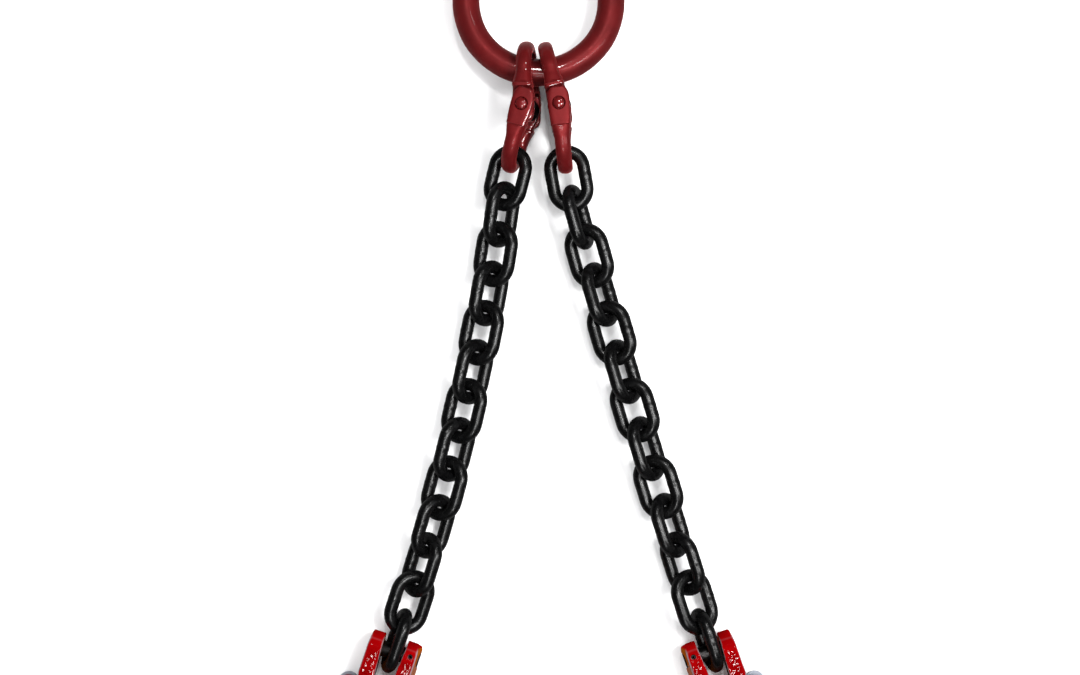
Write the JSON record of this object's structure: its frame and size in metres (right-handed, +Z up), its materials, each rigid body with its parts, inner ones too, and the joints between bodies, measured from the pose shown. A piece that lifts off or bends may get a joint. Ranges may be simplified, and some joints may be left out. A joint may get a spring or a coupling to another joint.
{
  "type": "chain sling",
  "caption": "Two-leg welded-chain lifting sling: oblong master link, hinged coupling links, load chain and clevis hooks with spring latches.",
  "frame": {"origin": "on the floor plane under the middle of the sling's bounding box", "axes": "+Y from the hooks towards the master link, +X across the two legs, +Z up from the floor that the sling lies on"},
  "size_m": [0.3748, 0.7372, 0.057],
  "materials": {
    "dark_red_paint": "satin paint on forged steel",
    "dark_red_gloss": "gloss paint on forged steel",
    "black_coating": "gloss black coating on welded chain",
    "bright_red_enamel": "gloss powder coat on forged steel",
    "dark_steel": "dark oiled steel",
    "zinc_plate": "bright zinc plate",
    "spring_steel": "drawn spring wire"
  },
  "bodies": {
    "master_link": {"master_link": "dark_red_paint"},
    "left_coupler_upper": {"left_coupler_upper": "dark_red_gloss", "left_coupler_pin": "dark_red_gloss", "left_coupler_sleeve": "dark_steel"},
    "left_coupler_lower": {"left_coupler_lower": "dark_red_gloss"},
    "left_link_01": {"left_link_01": "black_coating"},
    "left_link_02": {"left_link_02": "black_coating"},
    "left_link_03": {"left_link_03": "black_coating"},
    "left_link_04": {"left_link_04": "black_coating"},
    "left_link_05": {"left_link_05": "black_coating"},
    "left_link_06": {"left_link_06": "black_coating"},
    "left_link_07": {"left_link_07": "black_coating"},
    "left_link_08": {"left_link_08": "black_coating"},
    "left_link_09": {"left_link_09": "black_coating"},
    "left_link_10": {"left_link_10": "black_coating"},
    "left_link_11": {"left_link_11": "black_coating"},
    "left_link_12": {"left_link_12": "black_coating"},
    "left_link_13": {"left_link_13": "black_coating"},
    "left_hook": {"left_hook_body": "bright_red_enamel", "left_hook_pin": "dark_steel", "left_hook_retainer": "dark_steel", "left_latch_rivet": "zinc_plate"},
    "left_latch": {"left_latch": "zinc_plate", "left_latch_spring": "spring_steel"},
    "right_coupler_upper": {"right_coupler_upper": "dark_red_gloss", "right_coupler_pin": "dark_red_gloss", "right_coupler_sleeve": "dark_steel"},
    "right_coupler_lower": {"right_coupler_lower": "dark_red_gloss"},
    "right_link_01": {"right_link_01": "black_coating"},
    "right_link_02": {"right_link_02": "black_coating"},
    "right_link_03": {"right_link_03": "black_coating"},
    "right_link_04": {"right_link_04": "black_coating"},
    "right_link_05": {"right_link_05": "black_coating"},
    "right_link_06": {"right_link_06": "black_coating"},
    "right_link_07": {"right_link_07": "black_coating"},
    "right_link_08": {"right_link_08": "black_coating"},
    "right_link_09": {"right_link_09": "black_coating"},
    "right_link_10": {"right_link_10": "black_coating"},
    "right_link_11": {"right_link_11": "black_coating"},
    "right_link_12": {"right_link_12": "black_coating"},
    "right_link_13": {"right_link_13": "black_coating"},
    "right_hook": {"right_hook_body": "bright_red_enamel", "right_hook_pin": "dark_steel", "right_hook_retainer": "dark_steel", "right_latch_rivet": "zinc_plate"},
    "right_latch": {"right_latch": "zinc_plate", "right_latch_spring": "spring_steel"}
  },
  "joints": [
    {"name": "left_coupler_swing", "type": "hinge", "parent": "master_link", "child": "left_coupler_upper", "pos_m": [-0.01873, 0.18587, 0.02652], "axis": [-0.9873, 0.1582, -0.0152], "range_deg": [-18, 60]},
    {"name": "left_coupler_fold", "type": "hinge", "parent": "left_coupler_upper", "child": "left_coupler_lower", "pos_m": [-0.01945, 0.15868, 0.02847], "axis": [0.1219, -0.0021, -0.9925], "range_deg": [-10, 50]},
    {"name": "left_hook_swing", "type": "hinge", "parent": "left_link_13", "child": "left_hook", "pos_m": [-0.118, -0.24117, 0.01798], "axis": [-0.9472, 0.3206, 0], "range_deg": [-45, 45]},
    {"name": "left_latch_turn", "type": "hinge", "parent": "left_hook", "child": "left_latch", "pos_m": [-0.15162, -0.26564, 0.01642], "axis": [-0.0148, -0.0437, 0.9989], "range_deg": [0, 35], "stiffness_Nm_per_rad": 0.08, "springref_deg": -20.05},
    {"name": "right_coupler_swing", "type": "hinge", "parent": "master_link", "child": "right_coupler_upper", "pos_m": [-0.00123, 0.18595, 0.02651], "axis": [0.9857, 0.1675, -0.0161], "range_deg": [-60, 18]},
    {"name": "right_coupler_fold", "type": "hinge", "parent": "right_coupler_upper", "child": "right_coupler_lower", "pos_m": [0.00519, 0.15952, 0.02848], "axis": [0.0339, 0.0083, -0.9994], "range_deg": [-50, 10]},
    {"name": "right_hook_swing", "type": "hinge", "parent": "right_link_13", "child": "right_hook", "pos_m": [0.11687, -0.24114, 0.01784], "axis": [0.9432, 0.3322, 0], "range_deg": [-45, 45]},
    {"name": "right_latch_turn", "type": "hinge", "parent": "right_hook", "child": "right_latch", "pos_m": [0.15079, -0.26521, 0.01631], "axis": [-0.0149, 0.0424, -0.999], "range_deg": [0, 35], "stiffness_Nm_per_rad": 0.08, "springref_deg": -20.05},
    {"name": "left_chain_01", "type": "hinge", "parent": "left_coupler_lower", "child": "left_link_01", "pos_m": [-0.0281, 0.12729, 0.02516], "axis": [0.9541, -0.2755, 0.1177], "range_deg": [-60, 60]},
    {"name": "left_chain_02", "type": "hinge", "parent": "left_link_01", "child": "left_link_02", "pos_m": [-0.03463, 0.10108, 0.0229], "axis": [-0.3822, 0.0157, 0.924], "range_deg": [-60, 20]},
    {"name": "left_chain_03", "type": "hinge", "parent": "left_link_02", "child": "left_link_03", "pos_m": [-0.03883, 0.07199, 0.02044], "axis": [-0.7833, 0.1635, -0.5997], "range_deg": [-75, 75]},
    {"name": "left_chain_04", "type": "hinge", "parent": "left_link_03", "child": "left_link_04", "pos_m": [-0.04353, 0.04297, 0.01798], "axis": [0.4752, -0.0025, -0.8799], "range_deg": [-14, 75]},
    {"name": "left_chain_05", "type": "hinge", "parent": "left_link_04", "child": "left_link_05", "pos_m": [-0.04875, 0.01393, 0.01798], "axis": [0.7198, -0.1295, 0.682], "range_deg": [-75, 75]},
    {"name": "left_chain_06", "type": "hinge", "parent": "left_link_05", "child": "left_link_06", "pos_m": [-0.05448, -0.015, 0.01798], "axis": [-0.4605, 0.0912, 0.8829], "range_deg": [-75, 30]},
    {"name": "left_chain_07", "type": "hinge", "parent": "left_link_06", "child": "left_link_07", "pos_m": [-0.06072, -0.04384, 0.01798], "axis": [-0.7148, 0.1546, -0.682], "range_deg": [-75, 75]},
    {"name": "left_chain_08", "type": "hinge", "parent": "left_link_07", "child": "left_link_08", "pos_m": [-0.06745, -0.07256, 0.01798], "axis": [0.4571, -0.1072, -0.8829], "range_deg": [-45, 75]},
    {"name": "left_chain_09", "type": "hinge", "parent": "left_link_08", "child": "left_link_09", "pos_m": [-0.07469, -0.10116, 0.01798], "axis": [0.709, -0.1794, 0.682], "range_deg": [-75, 75]},
    {"name": "left_chain_10", "type": "hinge", "parent": "left_link_09", "child": "left_link_10", "pos_m": [-0.08242, -0.12962, 0.01798], "axis": [-0.453, 0.1231, 0.8829], "range_deg": [-75, 75]},
    {"name": "left_chain_11", "type": "hinge", "parent": "left_link_10", "child": "left_link_11", "pos_m": [-0.09065, -0.15795, 0.01798], "axis": [-0.6731, 0.1955, -0.7133], "range_deg": [-75, 75]},
    {"name": "left_chain_12", "type": "hinge", "parent": "left_link_11", "child": "left_link_12", "pos_m": [-0.09938, -0.18613, 0.01798], "axis": [0.7099, -0.2198, -0.6691], "range_deg": [-75, 75]},
    {"name": "left_chain_13", "type": "hinge", "parent": "left_link_12", "child": "left_link_13", "pos_m": [-0.10859, -0.21416, 0.01798], "axis": [0.3939, -0.1295, 0.91], "range_deg": [-75, 75]},
    {"name": "right_chain_01", "type": "hinge", "parent": "right_coupler_lower", "child": "right_link_01", "pos_m": [0.0084, 0.12704, 0.02602], "axis": [-0.9948, -0.0957, -0.0345], "range_deg": [-60, 60]},
    {"name": "right_chain_02", "type": "hinge", "parent": "right_link_01", "child": "right_link_02", "pos_m": [0.01368, 0.09855, 0.02333], "axis": [-0.1202, -0.1154, 0.986], "range_deg": [-20, 60]},
    {"name": "right_chain_03", "type": "hinge", "parent": "right_link_02", "child": "right_link_03", "pos_m": [0.02173, 0.0701, 0.02058], "axis": [0.9016, 0.2191, 0.373], "range_deg": [-75, 75]},
    {"name": "right_chain_04", "type": "hinge", "parent": "right_link_03", "child": "right_link_04", "pos_m": [0.02988, 0.04167, 0.01784], "axis": [0.3365, 0.1856, -0.9232], "range_deg": [-75, 14]},
    {"name": "right_chain_05", "type": "hinge", "parent": "right_link_04", "child": "right_link_05", "pos_m": [0.03817, 0.01315, 0.01784], "axis": [-0.7769, -0.2257, -0.5878], "range_deg": [-75, 75]},
    {"name": "right_chain_06", "type": "hinge", "parent": "right_link_05", "child": "right_link_06", "pos_m": [0.04655, -0.01534, 0.01784], "axis": [-0.3594, -0.1058, 0.9272], "range_deg": [-30, 75]},
    {"name": "right_chain_07", "type": "hinge", "parent": "right_link_06", "child": "right_link_07", "pos_m": [0.05504, -0.0438, 0.01784], "axis": [0.7753, 0.2311, 0.5878], "range_deg": [-75, 75]},
    {"name": "right_chain_08", "type": "hinge", "parent": "right_link_07", "child": "right_link_08", "pos_m": [0.06362, -0.07224, 0.01784], "axis": [0.3586, 0.1083, -0.9272], "range_deg": [-75, 45]},
    {"name": "right_chain_09", "type": "hinge", "parent": "right_link_08", "child": "right_link_09", "pos_m": [0.07231, -0.10064, 0.01784], "axis": [-0.7737, -0.2365, -0.5878], "range_deg": [-75, 75]},
    {"name": "right_chain_10", "type": "hinge", "parent": "right_link_09", "child": "right_link_10", "pos_m": [0.08109, -0.12901, 0.01784], "axis": [-0.3579, -0.1108, 0.9272], "range_deg": [-75, 75]},
    {"name": "right_chain_11", "type": "hinge", "parent": "right_link_10", "child": "right_link_11", "pos_m": [0.08997, -0.15735, 0.01784], "axis": [0.7437, 0.2331, 0.6266], "range_deg": [-75, 75]},
    {"name": "right_chain_12", "type": "hinge", "parent": "right_link_11", "child": "right_link_12", "pos_m": [0.09895, -0.18566, 0.01784], "axis": [0.6669, 0.2116, -0.7145], "range_deg": [-75, 75]},
    {"name": "right_chain_13", "type": "hinge", "parent": "right_link_12", "child": "right_link_13", "pos_m": [0.10803, -0.21394, 0.01784], "axis": [-0.4587, -0.1473, -0.8763], "range_deg": [-75, 75]}
  ]
}
